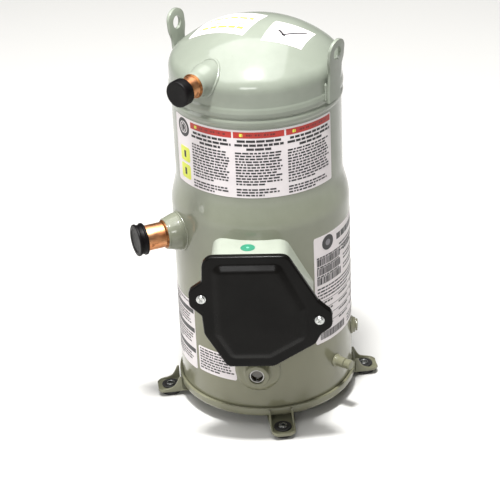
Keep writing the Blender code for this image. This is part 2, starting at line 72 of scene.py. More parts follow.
def set_camera():
    """A long lens above the front, rolled slightly and swung a little toward +X."""
    target, distance, lens = Vector((-17.74, 0, 203.4)), 2593.44, 134.16
    lean, roll, swing = math.radians(28.15), math.radians(-2.59), math.radians(3.5)
    ahead = Vector((0, math.cos(lean), -math.sin(lean)))
    side = Vector((1, 0, 0))
    up = side.cross(ahead)
    across = side * math.cos(roll) + up * math.sin(roll)
    above = up * math.cos(roll) - side * math.sin(roll)
    place = (target - ahead * distance) * MM
    turn = Matrix((across, above, -ahead)).transposed().to_4x4()
    camera = bpy.data.objects.new("camera", bpy.data.cameras.new("camera"))
    camera.data.sensor_width, camera.data.lens = 36.0, lens
    camera.data.clip_end = 30
    camera.matrix_world = Matrix.Rotation(swing, 4, "Z") @ Matrix.Translation(place) @ turn
    bpy.context.scene.collection.objects.link(camera)
    bpy.context.scene.camera = camera


# ---------------------------------------------------------------- finishes

def linear(code):
    """An sRGB hex colour as linear red, green, blue, alpha."""
    parts = [int(code[i:i + 2], 16) / 255 for i in (1, 3, 5)]
    return tuple(c / 12.92 if c <= 0.04045 else ((c + 0.055) / 1.055) ** 2.4
                 for c in parts) + (1.0,)


def add(tree, kind, feeds=None, **settings):
    """Add one node, with its settings, and feed its inputs from values or other outputs."""
    made = tree.nodes.new(kind)
    for key, value in settings.items():
        setattr(made, key, value)
    for key, value in (feeds or {}).items():
        if isinstance(value, bpy.types.NodeSocket):
            tree.links.new(value, made.inputs[key])
        else:
            made.inputs[key].default_value = value
    return made


def finish(name, light, dark, metallic, rough, patch_mm, grain_mm, relief_mm, share=0.5,
           extra=None):
    """A finish whose colour drifts between two shades in patches, whose gloss varies between
    two roughnesses, and whose surface has a fine relief. Returns it with its tree and nodes."""
    look = bpy.data.materials.new(name)
    look.use_nodes = True
    tree = look.node_tree
    tree.nodes.clear()
    here = add(tree, "ShaderNodeTexCoord").outputs["Object"]
    patch = add(tree, "ShaderNodeTexNoise", {"Vector": here, "Scale": 1000 / patch_mm,
                                             "Detail": 5.0, "Roughness": 0.6}).outputs[0]
    level = add(tree, "ShaderNodeMapRange", {"Value": patch, "From Min": share - 0.14,
                                             "From Max": share + 0.14}).outputs[0]
    colour = add(tree, "ShaderNodeMix", {0: level, 6: linear(light), 7: linear(dark)},
                 data_type="RGBA").outputs[2]
    smear = add(tree, "ShaderNodeTexNoise", {"Vector": here, "Scale": 2600 / patch_mm,
                                             "Detail": 3.0}).outputs[0]
    gloss = add(tree, "ShaderNodeMapRange", {"Value": smear, "From Min": 0.3, "From Max": 0.7,
                                             "To Min": rough[0], "To Max": rough[1]}).outputs[0]
    grain = add(tree, "ShaderNodeTexNoise", {"Vector": here, "Scale": 1000 / grain_mm,
                                             "Detail": 2.0}).outputs[0]
    relief = add(tree, "ShaderNodeBump", {"Height": grain, "Strength": 0.35,
                                          "Distance": 0.001 * relief_mm}).outputs[0]
    shader = add(tree, "ShaderNodeBsdfPrincipled", {"Base Color": colour, "Roughness": gloss,
                                                    "Metallic": metallic, "Normal": relief})
    for key, value in (extra or {}).items():
        shader.inputs[key].default_value = value
    add(tree, "ShaderNodeOutputMaterial", {"Surface": shader.outputs[0]})
    return look, tree, here, colour, shader


def overlay(tree, shader, under, mask, code):
    """Lay a second colour over the first where the mask is 1."""
    mixed = add(tree, "ShaderNodeMix", {0: mask, 6: under, 7: linear(code)}, data_type="RGBA")
    tree.links.new(mixed.outputs[2], shader.inputs["Base Color"])
    return mixed.outputs[2]


def bands(pitch_mm):
    """Wave texture scale for bands this far apart: the texture has 20 radians to a unit."""
    return 1000 / (pitch_mm * 20 / 6.2832)


def stoved_enamel(name, light, dark, foot_shade_strength):
    """Enamel on pressed steel: satin gloss with a faint orange peel about 2.5 mm across,
    drifting slightly in tone, with sparse darker specks. Toward the foot the tone is painted
    warmer and darker as painted shade and warm floor bounce; it stands for no known coating."""
    look, tree, here, colour, shader = finish(
        name, light, dark, 0.0, (0.30, 0.42), 85, 2.5, 0.05,
        extra={"Coat Weight": 0.8, "Coat Roughness": 0.09, "Specular IOR Level": 0.07})
    height = add(tree, "ShaderNodeSeparateXYZ", {0: here}).outputs[2]
    # Painted shade: the enamel is mixed toward a darker, warmer tone low on the piece.
    painted_foot_shade = add(tree, "ShaderNodeMapRange", {"Value": height, "From Min": 0.12,
                                                   "From Max": 0.44, "To Min": foot_shade_strength,
                                                   "To Max": 0.0}).outputs[0]
    colour = overlay(tree, shader, colour, painted_foot_shade, "#716E56")
    cells = add(tree, "ShaderNodeTexVoronoi", {"Vector": here, "Scale": 1000 / 9.0}).outputs[0]
    speck = add(tree, "ShaderNodeMapRange", {"Value": cells, "From Min": 0.05, "From Max": 0.09,
                                             "To Min": 0.35, "To Max": 0.0}).outputs[0]
    overlay(tree, shader, colour, speck, "#77796A")
    return look


def drawn_copper():
    """Hard-drawn copper pipe: bright orange metal with hand-darkened patches of oxide."""
    look, tree, here, colour, shader = finish(
        "drawn_copper", "#F0B284", "#D58A5A", 1.0, (0.30, 0.46), 22, 1.2, 0.02, share=0.54)
    stain = add(tree, "ShaderNodeTexNoise", {"Vector": here, "Scale": 1000 / 9.0,
                                             "Detail": 6.0}).outputs[0]
    tarnish = add(tree, "ShaderNodeMapRange", {"Value": stain, "From Min": 0.60,
                                               "From Max": 0.68, "To Max": 0.6}).outputs[0]
    overlay(tree, shader, colour, tarnish, "#7A4327")
    return look


def core_plate():
    """Stamped electrical steel, stacked: dark edges of the sheets, drawn 2 mm apart because
    the real 0.5 mm sheets are too fine to show."""
    look, tree, here, colour, shader = finish(
        "stacked_electrical_steel", "#7C7B79", "#5D5C5B", 0.9, (0.40, 0.55), 30, 1.0, 0.02)
    sheets = add(tree, "ShaderNodeTexWave", {"Vector": here, "Scale": bands(2.0),
                                             "Distortion": 0.0}, bands_direction="Z").outputs[1]
    seam = add(tree, "ShaderNodeMapRange", {"Value": sheets, "From Min": 0.0, "From Max": 0.25,
                                            "To Min": 0.7, "To Max": 0.0}).outputs[0]
    overlay(tree, shader, colour, seam, "#262524")
    return look


def magnet_wire():
    """Enamelled magnet wire, laced and varnished: glossy amber strands 1.4 mm apart,
    with painted shade in the grooves between them.
    """
    look, tree, here, colour, shader = finish(
        "varnished_magnet_wire", "#A8552B", "#7C3A1C", 0.35, (0.22, 0.36), 12, 1.4, 0.4,
        extra={"Coat Weight": 0.5, "Coat Roughness": 0.2})
    strands = add(tree, "ShaderNodeTexWave", {"Vector": here, "Scale": bands(1.4),
                                              "Distortion": 3.0, "Detail": 2.0},
                  bands_direction="DIAGONAL").outputs[1]
    # Painted shade: the dark lines stand for shade in the grooves between strands.
    groove = add(tree, "ShaderNodeMapRange", {"Value": strands, "From Max": 0.3, "To Min": 0.8,
                                              "To Max": 0.0}).outputs[0]
    overlay(tree, shader, colour, groove, "#3C190B")
    return look


def machined(name, light, dark, pitch_mm):
    """Turned or milled metal: fine tool lines at the given pitch over a bright surface."""
    look, tree, here, colour, shader = finish(name, light, dark, 1.0, (0.26, 0.38), 35, 0.8, 0.02)
    lines = add(tree, "ShaderNodeTexWave",
                {"Vector": here, "Scale": bands(pitch_mm), "Distortion": 0.6},
                wave_type="RINGS", rings_direction="Z").outputs[1]
    cut = add(tree, "ShaderNodeMapRange", {"Value": lines, "From Max": 0.4, "To Min": 0.25,
                                           "To Max": 0.0}).outputs[0]
    overlay(tree, shader, colour, cut, dark)
    return look


def printed_film(name, light, dark, rough):
    """Printed label film: flat satin ink or white base, with a slow ripple where
    the film bridges the enamel."""
    return finish(name, light, dark, 0.0, rough, 40, 6.0, 0.06)[0]


FINISHES = {
    # The last number sets how strongly painted shade darkens each enamel toward the foot.
    "shell_paint": stoved_enamel("sage_stoved_enamel", "#8A9084", "#80867A", 0.8),
    "box_paint": stoved_enamel("pale_stoved_enamel", "#A4AA9E", "#9BA195", 0.12),
    "copper": drawn_copper(),
    # Push-over caps of EPDM rubber: near-black, soft sheen, grey bloom in patches.
    "cap_rubber": finish("epdm_rubber_cap", "#070506", "#110E0F", 0.0, (0.38, 0.52), 14, 0.9,
                         0.05, share=0.56, extra={"Specular IOR Level": 0.16})[0],
    # Grommets of harder black rubber with a moulded matt skin.
    "grommet_rubber": finish("moulded_rubber_grommet", "#171616", "#232221", 0.0, (0.50, 0.66),
                             10, 0.7, 0.06)[0],
    # Cover moulded in black glass-filled nylon: a satin spark-eroded grain under 1 mm.
    "cover_plastic": finish("moulded_black_nylon", "#0D0C0B", "#121110", 0.0, (0.22, 0.27), 45,
                            0.9, 0.02, extra={"Specular IOR Level": 0.10})[0],
    # Zinc plate with a clear passivate: bright, slightly blue, clouded in patches.
    "zinc_steel": finish("bright_zinc_plate", "#D8D9D6", "#B4B6B5", 1.0, (0.20, 0.36), 7, 0.6,
                         0.02)[0],
    "machined_steel": machined("turned_steel", "#B2B1AE", "#8C8B88", 0.8),
    "scroll_iron": machined("milled_grey_iron", "#83827F", "#626160", 1.2),
    "bearing_bronze": machined("bored_bearing_bronze", "#C19A5B", "#9C7640", 0.9),
    "lamination": core_plate(),
    "winding": magnet_wire(),
    "balance_brass": machined("sawn_balance_brass", "#C9AA62", "#A5863F", 1.4),
    # Sight glass pane: clear; its dark brown is the oil behind it together with painted shade for the
    # dark inside of the closed shell.
    "sight_lens": finish("oil_and_shade_glass", "#2E2412", "#1F180C", 0.0, (0.03, 0.08), 12, 3.0,
                         0.01, extra={"Coat Weight": 1.0, "Coat Roughness": 0.03,
                                      "IOR": 1.5})[0],
    # Silver braze run into the joint, browned by the flame.
    "braze": finish("flame_browned_braze", "#A06A3C", "#5E3B22", 0.85, (0.34, 0.55), 5, 0.9,
                    0.12)[0],
    "film_white": printed_film("white_label_film", "#DED7D8", "#D5CED0", (0.34, 0.46)),
    "film_black": printed_film("black_label_ink", "#1C1A1C", "#282628", (0.38, 0.5)),
    "film_red": printed_film("red_label_ink", "#B02A20", "#A0241B", (0.34, 0.46)),
    "film_yellow": printed_film("yellow_label_ink", "#D6DC4E", "#C4CA3C", (0.34, 0.46)),
    "film_green": printed_film("green_sticker_film", "#2F8467", "#2A785D", (0.34, 0.46)),
    "film_rust": printed_film("dark_red_label_ink", "#6E1712", "#641410", (0.34, 0.46)),
    "film_grey": printed_film("grey_label_ink", "#77747A", "#6D6A70", (0.34, 0.46)),
    "film_pale": printed_film("pale_label_ink", "#6FB79C", "#66AC91", (0.34, 0.46)),
}


# ---------------------------------------------------------------- making pieces

def radial(azimuth, height=0.0):
    """Frame whose Z points outward from the shell's axis, Y up."""
    a = math.radians(azimuth)
    out, up = Vector((math.sin(a), -math.cos(a), 0.0)), Vector((0.0, 0.0, 1.0))
    turn = Matrix((up.cross(out), up, out)).transposed().to_4x4()
    return Matrix.Translation((0, 0, height)) @ turn


def standing(azimuth, distance=0.0):
    """Frame whose X points outward at an azimuth, Z up."""
    a = math.radians(azimuth)
    out, up = Vector((math.sin(a), -math.cos(a), 0.0)), Vector((0.0, 0.0, 1.0))
    turn = Matrix((out, up.cross(out), up)).transposed().to_4x4()
    return Matrix.Translation(out * distance) @ turn


def facing(x, z):
    """Frame whose Z points forward, away from the shell, at a place on the cover."""
    return Matrix.Translation((x, 0, z)) @ Matrix.Rotation(math.radians(90), 4, "X")


def rounded(outline, steps=6):
    """Points of a closed outline of (a, b, radius), with arcs at the corners."""
    points, count = [], len(outline)
    for i in range(count):
        here = Vector(outline[i][:2])
        arc = outline[i][2] if len(outline[i]) > 2 else 0
        one = Vector(outline[i - 1][:2]) - here
        two = Vector(outline[(i + 1) % count][:2]) - here
        if arc <= 0 or one.length < 1e-6 or two.length < 1e-6:
            points.append(here)
            continue
        half = one.angle(two) / 2
        if half > math.radians(89.5):
            points.append(here)
            continue
        reach = min(arc / math.tan(half), one.length * 0.49, two.length * 0.49)
        arc = reach * math.tan(half)
        one.normalize()
        two.normalize()
        centre = here + (one + two).normalized() * arc / math.sin(half)
        start, end = here + one * reach - centre, here + two * reach - centre
        sweep = start.angle_signed(end)
        points += [centre + Matrix.Rotation(-sweep * k / steps, 2) @ start
                   for k in range(steps + 1)]
    return points


def moved_in(outline, inset):
    """A counter-clockwise outline with every edge moved inward and its arcs kept."""
    moved, count = [], len(outline)
    for i in range(count):
        before, here, after = (Vector(outline[k % count][:2]) for k in (i - 1, i, i + 1))
        one, two = (here - before).normalized(), (after - here).normalized()
        left_one, left_two = Vector((-one.y, one.x)), Vector((-two.y, two.x))
        turn = one.x * two.y - one.y * two.x
        shift = (left_one + left_two) * inset / (1.0 + left_one.dot(left_two))
        arc = outline[i][2] - inset if turn > 0 else outline[i][2] + inset
        moved.append((here.x + shift.x, here.y + shift.y, max(arc, 0.8)))
    return moved


def upright(outline, inset, depth, steps=6):
    """A box or cover outline as a loop at one depth; depth may depend on x."""
    return [Vector((p.x, depth(p.x) if callable(depth) else depth, p.y))
            for p in rounded(moved_in(outline, inset), steps)]


def shade(thing, crease=32):
    """Shade smooth, with edges sharp past the crease angle."""
    mesh = thing.data
    mesh.shade_smooth()
    mesh.set_sharp_from_angle(angle=math.radians(crease))


def piece(name, bm, look, stands_for=(), body="casing", place=None, crease=32):
    """Turn made mesh into a piece with its finish, riding on its body."""
    bm.transform(Matrix.Scale(MM, 4) @ (place or Matrix.Identity(4)))
    bmesh.ops.remove_doubles(bm, verts=bm.verts[:], dist=1e-7)
    bmesh.ops.recalc_face_normals(bm, faces=bm.faces[:])
    mesh = bpy.data.meshes.new(name)
    bm.to_mesh(mesh)
    bm.free()
    thing = bpy.data.objects.new(name, mesh)
    bpy.context.scene.collection.objects.link(thing)
    if look:
        mesh.materials.append(FINISHES[look])
        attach(thing, body)
    if stands_for:
        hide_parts(*stands_for)
    shade(thing, crease)
    return thing


def bridge(bm, loops, closed=False, ends=True):
    """Join loops of equal length into a skin."""
    rings = [[bm.verts.new(p) for p in loop] for loop in loops]
    for low, high in list(zip(rings, rings[1:])) + ([(rings[-1], rings[0])] if closed else []):
        for i in range(len(low)):
            j = (i + 1) % len(low)
            bm.faces.new((low[i], low[j], high[j], high[i]))
    if ends and not closed:
        bm.faces.new(rings[0][::-1])
        bm.faces.new(rings[-1])
    return rings


def turned(profile, steps=96, arcs=5):
    """A closed (radius, height, corner radius) outline turned about Z."""
    bm = bmesh.new()
    points = rounded(profile, arcs)
    rings = []
    for r, h in points:
        if r < 0.01:
            rings.append([bm.verts.new((0, 0, h))] * steps)
        else:
            rings.append([bm.verts.new((r * math.cos(2 * math.pi * k / steps),
                                        r * math.sin(2 * math.pi * k / steps), h))
                          for k in range(steps)])
    for low, high in zip(rings, rings[1:] + rings[:1]):
        for k in range(steps):
            j = (k + 1) % steps
            corners = list(dict.fromkeys((low[k], low[j], high[j], high[k])))
            if len(corners) > 2:
                bm.faces.new(corners)
    return bm


def carve(blank, tool, kind="DIFFERENCE"):
    """Cut a piece with a tool, or join the tool to it, and put the tool away."""
    step = blank.modifiers.new("carve", "BOOLEAN")
    step.operation, step.solver, step.object = kind, "EXACT", tool
    bpy.context.view_layer.update()
    seen = bpy.context.evaluated_depsgraph_get()
    mesh = bpy.data.meshes.new_from_object(blank.evaluated_get(seen))
    blank.modifiers.clear()
    old, blank.data = blank.data, mesh
    bpy.data.meshes.remove(old)
    bpy.data.objects.remove(tool)
    shade(blank)


def drill(blank, radius, low, high, place, steps=48):
    """Bore a round hole through a piece."""
    carve(blank, piece("drill", turned(((0, low), (radius, low), (radius, high), (0, high)),
                                       steps), None, place=place))


def soften(thing, width, angle):
    """Break the sharp edges of a piece by a small round."""
    step = thing.modifiers.new("soften", "BEVEL")
    step.width, step.segments = width * MM, 2
    step.limit_method, step.angle_limit = "ANGLE", math.radians(angle)
    step.harden_normals = True


def weld(name, path, radius, closed=True, pitch=3.2):
    """A weld run along a path of (point, outward) pairs, with the ripple of its passes. An
    open run tapers at its ends."""
    bm, rings, walked = bmesh.new(), [], 0.0
    ripple, around = 0.10, 10
    count = len(path)
    for i, (point, outward) in enumerate(path):
        ahead = path[(i + 1) % count if closed else min(i + 1, count - 1)][0]
        behind = path[i - 1 if closed else max(i - 1, 0)][0]
        along = (ahead - behind).normalized()
        side = along.cross(outward).normalized()
        lift = side.cross(along).normalized()
        walked += (point - path[i - 1][0]).length if i else 0.0
        size = radius * (1 + ripple * math.sin(2 * math.pi * walked / pitch))
        if not closed:
            size *= min(1.0, 0.3 + 0.25 * min(i, count - 1 - i))
        rings.append([point + (side * math.cos(t) + lift * math.sin(t)) * size
                      for t in (2 * math.pi * k / around for k in range(around))])
    bridge(bm, rings, closed=closed)
    piece(name, bm, "shell_paint", crease=60)


# ---------------------------------------------------------------- shell

def cap_arc(centre_r, centre_h, radius, start, end, steps):
    """Profile points along an arc, its angles measured from straight up."""
    return [(centre_r + radius * math.sin(math.radians(start + (end - start) * k / steps)),
             centre_h + radius * math.cos(math.radians(start + (end - start) * k / steps)), 0)
            for k in range(steps + 1)]


def dome_outline(inward=0.0):
    """Half outline of the top cap from the skirt's top to the crown."""
    inner, span = SKIRT_R - KNUCKLE_R, CROWN_R - KNUCKLE_R
    tilt = math.degrees(math.asin(inner / span))
    crown = SKIRT_TOP - math.sqrt(span ** 2 - inner ** 2)
    side = cap_arc(inner, SKIRT_TOP, KNUCKLE_R - inward, 90, tilt, 14)
    top = cap_arc(0, crown, CROWN_R - inward, tilt, 0, 22)
    return side + top[1:-1] + [(0, crown + CROWN_R - inward, 0)]


def shoulder(steps=22, inward=0.0):
    """Profile points up the smooth step from the wide body to the neck."""
    made = []
    for k in range(1, steps + 1):
        t = k / steps
        made.append((BODY_R + (NECK_R - BODY_R) * t * t * (3 - 2 * t) - inward,
                     SHOULDER_LOW + (SHOULDER_HIGH - SHOULDER_LOW) * t, 0))
    return made


def outside(z):
    """Outer radius of the shell at a height."""
    line = [(BODY_R, 0), (BODY_R, SHOULDER_LOW)] + [p[:2] for p in shoulder()]
    line += [(NECK_R, 452)] + [p[:2] for p in dome_outline()]
    for (r0, h0), (r1, h1) in zip(line, line[1:]):
        if h0 <= z <= h1 and h1 > h0:
            return r0 + (r1 - r0) * (z - h0) / (h1 - h0)
    return BODY_R if z < SHOULDER_LOW else 0.0


def make_shell():
    """Bottom cap, drawn shell and top cap, with the weld that closes them."""
    piece("pressed_bottom_cap", turned((
        (0, 0), (92, 0, 30), (108, 1.8, 12), (118, 5.0, 8), (124, 9.5, 6), (125.6, 13, 5),
        (125.6, 21.7, 1.3), (BODY_R + GAP, 21.7, 0.7), (BODY_R + GAP, 13.2), (116.5, 9.2, 5),
        (107, 5.8, 9), (91, 4.0, 20), (0, 4.0)), 224), "shell_paint", ["bottom_cap"])
    body = piece("drawn_main_shell", turned(
        [(BODY_R, BODY_BOTTOM, 0.6), (BODY_R, 150, 0), (BODY_R, SHOULDER_LOW, 0)] + shoulder()
        + [(NECK_R, 395, 0), (NECK_R, 440.2, 3), (115.5, 443.4, 2.4), (115.8, 447.4, 3.4),
           (114.6, 451.2, 2.2), (113.9, NECK_TOP, 0.4), (NECK_R - WALL, NECK_TOP, 0)]
        + shoulder(12, WALL)[::-1]
        + [(BODY_R - WALL, SHOULDER_LOW, 0), (BODY_R - WALL, BODY_BOTTOM, 0)], 224),
        "shell_paint", ["main_shell"])
    for spot, radius in ((SUCTION, 19.0), (TERMINAL, 25.0), (SIGHT, 10.3), (OIL_VALVE, 4.0),
                         (EQUALIZER, 4.0)):
        drill(body, radius, 100, 135, radial(*spot))
    top = piece("pressed_top_cap", turned(
        [(SKIRT_R - WALL, CAP_BOTTOM, 0), (114.3, CAP_BOTTOM, 0.4), (115.7, 454.8, 2.6),
         (116.3, 459.6, 6), (115.6, 464.6, 4), (SKIRT_R, 467.4, 4), (SKIRT_R, 476, 0)]
        + dome_outline() + dome_outline(WALL)[::-1], 224), "shell_paint", ["top_cap"])
    drill(top, 15.2, 80, 130, radial(*DISCHARGE))
    # The closing weld sits in the groove between the two ridges.
    weld("girth_weld", [(Vector((math.sin(a), -math.cos(a), 0)) * 113.1 + Vector((0, 0, 452.6)),
                         Vector((math.sin(a), -math.cos(a), 0)))
                        for a in (2 * math.pi * k / 300 for k in range(300))], 1.5, pitch=4.7)


def clearance():
    """The shell's outside, a hair larger, for trimming what is welded onto it."""
    line = [(0, 30, 0), (BODY_R + GAP, 30, 0), (BODY_R + GAP, SHOULDER_LOW, 0)]
    line += [(r + GAP, h, 0) for r, h, _ in shoulder(10)]
    line += [(NECK_R + GAP, 440, 0), (SKIRT_R + GAP, 445, 0)]
    line += [(r + GAP if r > 1 else 0, h + GAP, 0) for r, h, _ in dome_outline()]
    return piece("clearance", turned(line, 160), None)


# ---------------------------------------------------------------- fittings on the shell

def run_on(place_at, radius_at, start, stop):
    """Where a turned boss meets the shell: a ring of (point, outward) pairs."""
    made = []
    for k in range(72):
        t = 2 * math.pi * k / 72
        depth = start
        while depth > stop:
            r = radius_at(depth)
            point = place_at @ Vector((r * math.cos(t), r * math.sin(t), depth))
            if math.hypot(point.x, point.y) <= outside(point.z):
                break
            depth -= 0.25
        axis = (place_at.to_3x3() @ Vector((math.cos(t), math.sin(t), 0))).normalized()
        made.append((point, (axis + (place_at.to_3x3() @ Vector((0, 0, 1)))).normalized()))
    return made


def make_stub(name, spot, start, flare_r, boss_r, boss_end, pipe_r, pipe_end, bead):
    """A painted boss welded to the shell, with a copper pipe brazed into it."""
    place = radial(*spot)
    boss = piece(name + "_boss", turned((
        (pipe_r + GAP, start), (flare_r, start), (flare_r, start + 22, 7), (boss_r + 2.4, start + 29, 8),
        (boss_r, start + 36, 14), (boss_r, boss_end, 1.6), (pipe_r + GAP, boss_end, 0.8)), 96),
        "shell_paint", [name + "_fitting"], place=place)
    carve(boss, clearance())

    def boss_radius(depth):
        if depth < start + 22:
            return flare_r
        if depth < start + 36:
            return flare_r + (boss_r - flare_r) * (depth - start - 22) / 14
        return boss_r
    weld(name + "_weld", run_on(place, boss_radius, boss_end, start), bead)
    piece(name + "_pipe", turned((
        (pipe_r - 1.4, start + 14), (pipe_r, start + 14), (pipe_r, pipe_end, 0.5),
        (pipe_r - 1.4, pipe_end, 0.4)), 96), "copper", [name + "_tube"], place=place)
    # Braze fillet where the pipe leaves the boss.
    piece(name + "_braze", turned((
        (pipe_r + 0.03, boss_end - 0.6), (pipe_r + 2.2, boss_end - 0.5, 0.4),
        (pipe_r + 1.9, boss_end + 0.8, 0.8), (pipe_r + 0.5, boss_end + 2.4, 0.8),
        (pipe_r + 0.03, boss_end + 2.8)), 96), "braze", place=place)


def make_caps():
    """Push-over rubber caps: the suction one has two ribs and a dished face, the discharge
    one is a plain rounded cup."""
    face, out = 184.6, 22.0
    piece("suction_cap_shell", turned((
        (0, 182.3), (17.8, 182.3), (17.8, 171.5, 0.3), (out - 0.2, 171.5, 1.0),
        (out, 174.6, 0.9), (out - 1.6, 175.6, 0.8), (out - 1.7, 180.8, 0.8), (out, 181.6, 0.9),
        (out - 0.1, face, 1.3), (out - 5.2, face, 1.2), (out - 6.4, face - 1.0, 1.0),
        (0, face - 1.0)), 96), "cap_rubber", ["suction_plug"], "suction_cap",
        radial(*SUCTION))
    piece("discharge_cap_shell", turned((
        (0, 160.3), (14.6, 160.3), (14.6, 148.0, 0.3), (17.5, 148.0, 0.9), (17.6, 153, 2),
        (17.5, 162.6, 2.4), (13.6, 162.6, 3), (0, 162.2)), 96), "cap_rubber",
        ["discharge_plug"], "discharge_cap", radial(*DISCHARGE))


def make_lugs():
    """Lifting ears: a flat plate with a round eye, welded down both sides."""
    heights = [454 + 70 * k / 34 for k in range(35)]
    heights += [524 + 14.5 * math.sin(math.radians(a)) for a in range(7, 91, 7)]

    def half_width(z):
        if z < 496:
            return 15.0 - (z - 454) / 42
        if z < 514:
            t = (z - 496) / 18
            return 14.0 + 4.5 * t * t * (3 - 2 * t)
        if z <= 524:
            return 18.5
        return max(18.5 * math.sqrt(max(0.0, 1 - ((z - 524) / 14.62) ** 2)), 1.6)

    def lean(z):
        """How far the plate bows outward, clear of the knuckle below it."""
        rise = max(0.0, z - 468)
        return 0.10 * rise * rise / (rise + 12)
    for number, azimuth in enumerate(LUG_AZ, 1):
        bm, loops = bmesh.new(), []
        for z in heights:
            wide, back = half_width(z), 117.0 + lean(z)
            loops.append([Vector((p.x, p.y, z)) for p in rounded((
                (back, -wide, 1.0), (back + 4.5, -wide, 1.2), (back + 4.5, wide, 1.2),
                (back, wide, 1.0)), 3)])
        bridge(bm, loops)
        ear = piece("lifting_ear_%d" % number, bm, "shell_paint", ["lifting_lug_%d" % number],
                    place=standing(azimuth))
        drill(ear, 9.0, 100, 150, radial(azimuth, 520.0))
        soften(ear, 0.7, 50)
        for side in (-1, 1):
            place = standing(azimuth)
            path = [(place @ Vector((115.4, side * (14.6 - (z - 454) / 42), z)),
                     (place.to_3x3() @ Vector((0.5, side * 0.9, 0))).normalized())
                    for z in [455 + 1.1 * k for k in range(25)]]
            weld("ear_weld_%d_%s" % (number, "lr"[side > 0]), path, 2.0, closed=False)


def make_feet():
    """Bracket plates folded up at the sides, with a rubber grommet and steel sleeve each."""
    height_at = ((88, -0.3), (126.0, -0.3), (126.4, 20.0), (128.4, 20.5), (129.8, 18.6),
                 (131.4, 15.2), (134, 10.0), (136.5, 6.6), (139, 4.8), (144, 3.2), (150, 2.2),
                 (154, 1.6), (156.4, 1.1), (158, 0.8), (159, 0.6))

    def half_width(r):
        return 17.0 if r < 151.5 else 17.0 - 6.2 * ((r - 151.5) / 7.5) ** 2
    for number, azimuth in enumerate(FOOT_AZ, 1):
        bm, loops = bmesh.new(), []
        for r, top in height_at:
            wide = half_width(r)
            bend = min(1.6, max(0.02, (top + 0.3) * 0.6))
            loops.append([Vector((r, p.x, p.y)) for p in rounded((
                (-wide, -3.8, 2.2), (wide, -3.8, 2.2), (wide, top + 0.02, 1.0),
                (wide - 2.6, top + 0.02, 1.0), (wide - 2.6, -0.3, bend),
                (-wide + 2.6, -0.3, bend), (-wide + 2.6, top + 0.02, 1.0),
                (-wide, top + 0.02, 1.0)), 3)])
        bridge(bm, loops)
        foot = piece("folded_foot_%d" % number, bm, "shell_paint", ["foot_%d" % number],
                     place=standing(azimuth))
        place = standing(azimuth, FOOT_HOLE_R)
        drill(foot, 10.0, -20, 20, place)
        piece("rubber_grommet_%d" % number, turned((
            (6.2, FOOT_SOLE, 0.4), (14.4, FOOT_SOLE, 1.4), (14.4, -4.1, 0.8), (9.7, -4.1, 0.3),
            (9.7, 0.1, 0.3), (12.2, 0.1, 0.5), (12.2, 2.4, 1.4), (6.2, 2.4, 0.5)), 48),
            "grommet_rubber", ["grommet_%d" % number], place=place)
        piece("steel_sleeve_%d" % number, turned((
            (4.3, -9.8, 0.3), (5.9, -9.8, 0.3), (5.9, 3.6, 0.5), (4.3, 3.6, 0.5)), 48),
            "zinc_steel", ["sleeve_%d" % number], place=place)


def make_ports():
    """Sight glass, oil service valve and oil equalizing port."""
    place = radial(*SIGHT)
    pad = piece("sight_glass_pad", turned((
        (10.6, 105), (31, 105), (31, 121.4, 3.0), (26.0, 123.9, 8), (18.6, 125.2, 3),
        (17.2, 130, 6), (16.6, 137.4, 1.6), (10.6, 137.4, 1.4)), 96), "shell_paint",
        ["sight_glass_boss"], place=place)
    carve(pad, clearance())
    weld("sight_glass_weld", run_on(place, lambda d: 31.0, 124, 105), 0.9, pitch=2.6)
    piece("sight_glass_seat", turned(((8.2, 117.8), (10.3, 117.8), (10.3, 135.6, 0.6),
                                      (8.2, 135.6, 0.9)), 64), "machined_steel",
          ["sight_glass_ring"], place=place)
    piece("sight_glass_pane", turned(((0, 126.0), (7.9, 126.0, 0.4), (7.9, 130.7, 0.6),
                                      (0, 131.0)), 64), "sight_lens", ["sight_glass_lens"],
          place=place)
    place = radial(*OIL_VALVE)
    stem = piece("oil_valve_stem", turned((
        (2.2, 112), (9.4, 112), (9.4, 123.0, 1.4), (7.9, 124.6, 1.5), (7.4, 127, 2),
        (7.4, 137, 0.7), (4.6, 137, 0.3), (4.6, 143, 0.5), (2.2, 143, 0.3)), 64), "shell_paint",
        ["oil_valve_body"], place=place)
    carve(stem, clearance())
    piece("oil_valve_bonnet", turned((
        (0, 144.0), (5.0, 144.0), (5.0, 137.5, 0.2), (6.9, 137.5, 0.6), (6.9, 147.2, 1.6),
        (0, 147.2)), 48), "shell_paint", ["oil_valve_cap"], place=place)
    place = radial(*EQUALIZER)
    port = piece("equalizer_boss", turned((
        (3.9, 112), (13.0, 112), (13.0, 122.8, 1.4), (11.0, 124.2, 1.4), (10.5, 127.0, 0.9),
        (3.9, 127.0)), 64), "shell_paint", ["equalizer_port"], place=place)
    carve(port, clearance())
    piece("equalizer_bung", turned((
        (0, 118), (3.6, 118), (3.6, 127.3, 0.3), (8.6, 127.3, 0.5), (8.6, 130.4, 1.3),
        (5.0, 130.4, 0.6), (4.4, 129.2, 0.5), (0, 129.2)), 64), "shell_paint",
        ["equalizer_plug"], place=place)


# ---------------------------------------------------------------- terminal box

